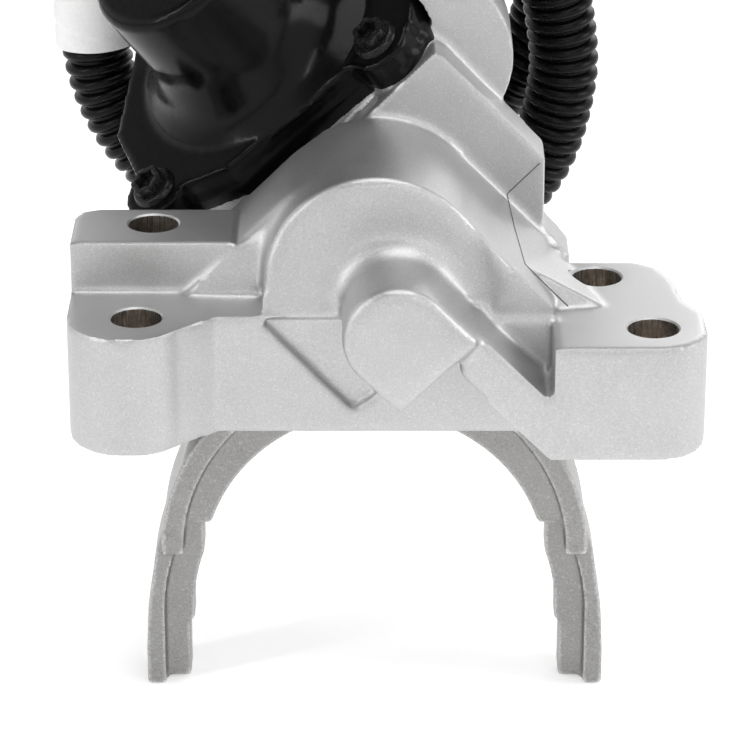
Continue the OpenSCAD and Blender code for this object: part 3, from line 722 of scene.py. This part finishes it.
def ramp(tree, value, low, high):
    """From 0 at low to 1 at high."""
    made = node(tree, "MapRange")
    made.inputs["From Min"].default_value = low
    made.inputs["From Max"].default_value = high
    feed(tree, made.inputs["Value"], value)
    return made.outputs[0]


pale, dim = (0.6, 0.6, 0.6, 1), (0.4, 0.4, 0.4, 1)
print("node helpers: numbers, colours, noise, ramp")


# %% [markdown]
# The first group gives a cast or painted surface its grain: fine noise, slow
# mottling, single bright flakes, and a painted highlight that lightens outer
# edges in patches. The second gives turned and ground metal its fine lines.
# Object coordinates, so the pattern has its real size on every piece.

# %% Node groups
def grain_group():
    tree, given, out = new_group(
        "grain", {"Scale": 2400, "Flakes": 0.3, "Base roughness": 0.5, "Wear": 0.0},
        {"Light": pale, "Dark": dim})
    spot = node(tree, "TexCoord").outputs["Object"]
    fine_noise = noise(tree, spot, given.outputs["Scale"], 2.0, 0.65)
    mottling = noise(tree, spot, 55, 3.0)
    cells = node(tree, "TexVoronoi")
    feed(tree, cells.inputs["Vector"], spot)
    feed(tree, cells.inputs["Scale"], given.outputs["Scale"])
    apart = node(tree, "SeparateColor")
    feed(tree, apart.inputs[0], cells.outputs["Color"])
    flake = times(tree, ramp(tree, apart.outputs[0], 0.8, 1.0), given.outputs["Flakes"])
    shade = plus(tree, times(tree, ramp(tree, fine_noise, 0.3, 0.7), 0.7),
                 times(tree, ramp(tree, mottling, 0.3, 0.7), 0.3))
    # Painted highlight: convex edges, found by their pointiness, are lightened to near white in
    # noise patches.
    edges = ramp(tree, node(tree, "NewGeometry").outputs["Pointiness"], 0.52, 0.6)
    glint_patches = times(tree, edges, ramp(tree, fine_noise, 0.25, 0.6))
    painted_glint = times(tree, glint_patches, given.outputs["Wear"])
    body = mix_colour(tree, shade, given.outputs["Dark"], given.outputs["Light"])
    body = mix_colour(tree, painted_glint, body, (0.95, 0.95, 0.94, 1))
    feed(tree, out.inputs["Colour"], mix_colour(tree, flake, body, (1, 1, 1, 1)))
    swing = times(tree, math_node(tree, "SUBTRACT", shade, 0.5), 0.16)
    rough = plus(tree, given.outputs["Base roughness"], swing)
    feed(tree, out.inputs["Roughness"],
         math_node(tree, "SUBTRACT", rough, times(tree, flake, 0.3)))
    feed(tree, out.inputs["Height"], plus(tree, fine_noise, times(tree, flake, 0.5)))
    return tree


def lines_group():
    tree, given, out = new_group(
        "turned_lines", {"Base roughness": 0.3}, {"Light": pale, "Dark": dim})
    spot = node(tree, "TexCoord").outputs["Object"]
    stretch = node(tree, "Mapping")
    stretch.inputs["Scale"].default_value = (1.0, 1.0, 0.06)
    feed(tree, stretch.inputs["Vector"], spot)
    lines = noise(tree, stretch.outputs[0], 2600, 2.0)
    stains = noise(tree, spot, 140, 3.0)
    shade = plus(tree, times(tree, ramp(tree, lines, 0.3, 0.7), 0.55),
                 times(tree, ramp(tree, stains, 0.35, 0.7), 0.45))
    feed(tree, out.inputs["Colour"],
         mix_colour(tree, shade, given.outputs["Dark"], given.outputs["Light"]))
    feed(tree, out.inputs["Roughness"],
         plus(tree, given.outputs["Base roughness"], times(tree, shade, 0.14)))
    feed(tree, out.inputs["Height"], lines)
    return tree


grain, turned_lines = grain_group(), lines_group()
print("node groups:", grain.name, turned_lines.name)


# %% [markdown]
# A finish is one of the two groups with values of its own, in front of a
# Principled shader.

# %% Materials
def finish(name, skin, light, dark, rough, metallic=0.0, bump=0.2, depth=0.05, specular=0.5,
           **own):
    """depth is the bump's real depth in millimetres, and own holds the skin's other numbers."""
    made = bpy.data.materials.new(name)
    made.use_nodes = True
    tree = made.node_tree
    shader = tree.nodes["Principled BSDF"]
    skin_node = node(tree, "Group")
    skin_node.node_tree = skin
    skin_node.inputs["Light"].default_value = (*light, 1)
    skin_node.inputs["Dark"].default_value = (*dark, 1)
    skin_node.inputs["Base roughness"].default_value = rough
    for key, value in own.items():
        skin_node.inputs[key.title()].default_value = value
    relief = node(tree, "Bump")
    relief.inputs["Strength"].default_value = bump
    relief.inputs["Distance"].default_value = depth * MM
    feed(tree, relief.inputs["Height"], skin_node.outputs["Height"])
    feed(tree, shader.inputs["Normal"], relief.outputs[0])
    feed(tree, shader.inputs["Base Color"], skin_node.outputs["Colour"])
    feed(tree, shader.inputs["Roughness"], skin_node.outputs["Roughness"])
    shader.inputs["Metallic"].default_value = metallic
    shader.inputs["Specular IOR Level"].default_value = specular
    return made


def grey(value, warm=0.0):
    return (value * (1 + warm), value, value * (1 - warm))


# Painted highlight: the last number of the two cast finishes sets how much their outer edges are
# lightened.
cast_aluminium = finish(
    "cast_aluminium", grain, grey(0.58), grey(0.41), 0.4, metallic=0.85,
    bump=0.8, depth=0.09, scale=3100, flakes=0.13, wear=0.12)
machined_top = finish(
    "machined_top", grain, grey(0.57), grey(0.51), 0.42, metallic=0.85,
    bump=0.2, depth=0.03, scale=3300, flakes=0.03)
# Painted shade: the fork's colour is made darker than the housing's.
fork_skin_painted_shade = finish(
    "fork_skin_painted_shade", grain, grey(0.32, 0.015), grey(0.21, 0.015), 0.33, metallic=0.75,
    bump=1.0, depth=0.12, scale=2300, flakes=0.08, wear=1.0)
bored_metal = finish(
    "bored_metal", turned_lines, grey(0.85, 0.06), grey(0.45, 0.1), 0.2, metallic=1.0)
black_paint = finish(
    "black_paint", grain, grey(0.0025), grey(0.002), 0.2,
    bump=0.06, depth=0.03, scale=900, flakes=0.0, specular=0.14)
black_screw = finish(
    "black_screw", grain, grey(0.012), grey(0.006), 0.26, metallic=0.2,
    bump=0.2, depth=0.02, scale=3000, flakes=0.02, specular=0.25)
black_plastic = finish(
    "black_plastic", grain, grey(0.003), grey(0.002), 0.3,
    bump=0.15, depth=0.03, scale=1500, flakes=0.0, specular=0.13)
black_rubber = finish(
    "black_rubber", grain, grey(0.028), grey(0.016), 0.62,
    bump=0.3, depth=0.04, scale=1200, flakes=0.0)
white_cloth = finish(
    "white_cloth", grain, grey(0.84), grey(0.76), 0.8,
    bump=0.6, depth=0.12, scale=1300, flakes=0.0)
gear_nylon = finish(
    "gear_nylon", grain, (0.72, 0.7, 0.62), (0.66, 0.63, 0.54), 0.5,
    bump=0.1, scale=1500, flakes=0.0)
board_green = finish(
    "board_green", grain, (0.03, 0.16, 0.07), (0.02, 0.1, 0.045), 0.4, bump=0.1, flakes=0.0)
carbon = finish("carbon", grain, grey(0.05), grey(0.025), 0.6, bump=0.3, flakes=0.1)
seal_orange = finish(
    "seal_orange", grain, (0.55, 0.16, 0.05), (0.42, 0.11, 0.03), 0.5, bump=0.2, flakes=0.0)
lock_red = finish(
    "lock_red", grain, (0.4, 0.035, 0.03), (0.3, 0.02, 0.02), 0.4, bump=0.15, flakes=0.0)
steel, dark_steel, bronze, brass, copper = (
    finish(name, turned_lines, light, dark, rough, metallic=metallic)
    for name, light, dark, rough, metallic in (
        ("steel", grey(0.62), grey(0.42), 0.24, 1.0),
        ("dark_steel", grey(0.2), grey(0.1), 0.36, 0.9),
        ("bronze", (0.62, 0.42, 0.2), (0.4, 0.25, 0.1), 0.3, 1.0),
        ("brass", (0.75, 0.56, 0.26), (0.52, 0.36, 0.14), 0.26, 1.0),
        ("copper", (0.72, 0.36, 0.2), (0.5, 0.22, 0.1), 0.3, 1.0)))
print("materials in the file:", len(bpy.data.materials))

# %% [markdown]
# The pieces made above and the solids that stay as they are each get one.

# %% Dress the pieces
piece_finishes = (
    (casting, cast_aluminium), (fork, fork_skin_painted_shade), (cover, black_paint),
    (screws, black_screw), (conduit, black_plastic), (tape, white_cloth),
    (boot, black_rubber), (shell, black_plastic), (lock, lock_red), (seam, dark_steel),
)
node_finishes = {
    bronze: ("rail_bush_front", "rail_bush_rear", "motor_bush_top", "motor_bush_bottom",
             "output_bush"),
    steel: ("shift_rail", "armature_shaft", "gear_pin", "crank_pin", "output_shaft",
            "motor_can", "gear_plate", "motor_end_plate", "core_plug"),
    dark_steel: ("fork_pin", "selector_pin", "retaining_ring", "armature_core", "magnets"),
    fork_skin_painted_shade: ("selector_block",),
    brass: ("motor_pinion", "brush_springs", "wiper", "connector_terminals"),
    copper: ("armature_windings", "commutator"),
    carbon: ("brushes",),
    gear_nylon: ("intermediate_gear", "output_gear"),
    board_green: ("position_board",),
    black_rubber: ("cover_gasket", "output_seal", "harness_grommet"),
    seal_orange: ("connector_seal",),
}
dressed = list(piece_finishes)
for material, names in node_finishes.items():
    dressed += [(nodes[name], material) for name in names]
for piece, material in dressed:
    piece.data.materials.clear()
    piece.data.materials.append(material)
print("pieces with a finish:", len(dressed))

# %% [markdown]
# ## Machined faces
# The drilled walls and the tops of the pads are machined. Their faces are found
# by their place: inside a bolt hole's radius they get the bored finish, and
# level faces at a pad's height get the milled one.

# %% Machined faces
bored_slot, milled_slot = 1, 2
wall_slack, level, pad_slack = 0.05, 0.97, 0.4
casting.data.materials.append(bored_metal)
casting.data.materials.append(machined_top)
for face in casting.data.polygons:
    centre = face.center / MM
    near = min(math.hypot(centre.x - x, centre.y - y) for x, y, _ in holes)
    off_pad = min(abs(centre.z - top) for _, _, top in holes)
    if near < hole_r + wall_slack:
        face.material_index = bored_slot
    elif face.normal.z > level and off_pad < pad_slack:
        face.material_index = milled_slot
slots = [face.material_index for face in casting.data.polygons]
print("bored faces:", slots.count(bored_slot), "milled faces:", slots.count(milled_slot))

# %% [markdown]
# ## Floor
# The part stands on a pale table that glows softly. Metal shows what it
# mirrors, and its upright faces show the table. The glow fades with the
# distance from the part.

# %% Floor
glow_centre, glow_near, glow_far = (0, 0.25, -0.067), 0.4, 1.1
bpy.ops.object.select_all(action="DESELECT")
bpy.ops.mesh.primitive_plane_add(size=8, location=(0, 0, -67.1 * MM))
floor = settle(bpy.context.object)
floor.name = "floor"
floor_finish = bpy.data.materials.new("floor_finish")
floor_finish.use_nodes = True
tree = floor_finish.node_tree
floor_shader = tree.nodes["Principled BSDF"]
floor_shader.inputs["Base Color"].default_value = (0.9, 0.9, 0.9, 1)
floor_shader.inputs["Roughness"].default_value = 0.9
away = node(tree, "VectorMath", operation="DISTANCE")
feed(tree, away.inputs[0], node(tree, "TexCoord").outputs["Object"])
away.inputs[1].default_value = glow_centre
fade = ramp(tree, away.outputs["Value"], glow_far, glow_near)
feed(tree, floor_shader.inputs["Emission Color"],
     mix_colour(tree, fade, (0.0, 0.0, 0.0, 1), (0.4, 0.4, 0.4, 1)))
floor_shader.inputs["Emission Strength"].default_value = 1.0
floor.data.materials.append(floor_finish)
print("floor at, mm:", round(floor.data.vertices[0].co.z / MM, 1))

# %% [markdown]
# ## Lamps
# A large soft box above, two at the sides and two narrow strips in front, as
# in a small product studio. Each has a place, the point it looks at, its two
# sides in metres and its power in watts.

# %% Lamps
lamps = {
    "top_box": ((0.15, -0.1, 1.3), (0, 0, 0), (1.0, 1.0), 9),
    "back_right_box": ((0.42, 1.0, 0.5), (0.05, 0.0, 0.03), (0.55, 0.6), 1.9),
    "right_box": ((1.1, -0.1, 0.5), (0, 0.03, 0.03), (0.5, 0.8), 4),
    "left_strip": ((-1.0, -0.5, 0.6), (0, 0, 0.03), (0.08, 1.0), 3.2),
    "front_strip": ((0.35, -1.0, 0.75), (0, 0, 0.03), (0.7, 0.06), 1.6),
}
for name, (place, target, sides, power) in lamps.items():
    data = bpy.data.lights.new(name, "AREA")
    data.shape = "RECTANGLE"
    data.size, data.size_y = sides
    data.energy = power
    lamp = linked(name, data)
    lamp.location = place
    aim_way = Vector(target) - Vector(place)
    lamp.rotation_euler = aim_way.to_track_quat("-Z", "Y").to_euler()
print("lamps:", len(lamps))

# %% [markdown]
# ## Room
# Bright walls stand under a dark ceiling: the black cover mirrors the ceiling,
# and the pads mirror the walls.

# %% Room
ceiling_light, wall_light = 0.16, 0.95
ceiling_from, walls_to = 0.62, 0.4
world = bpy.data.worlds.new("studio")
world.use_nodes = True
tree = world.node_tree
background = tree.nodes["Background"]
background.inputs["Color"].default_value = (1, 1, 1, 1)
height = node(tree, "SeparateXYZ")
feed(tree, height.inputs[0], node(tree, "TexCoord").outputs["Generated"])
walls = times(tree, ramp(tree, height.outputs["Z"], ceiling_from, walls_to), wall_light)
feed(tree, background.inputs["Strength"], plus(tree, walls, ceiling_light))
bpy.context.scene.world = world
bpy.context.scene.view_settings.view_transform = "Standard"
print("room:", world.name)
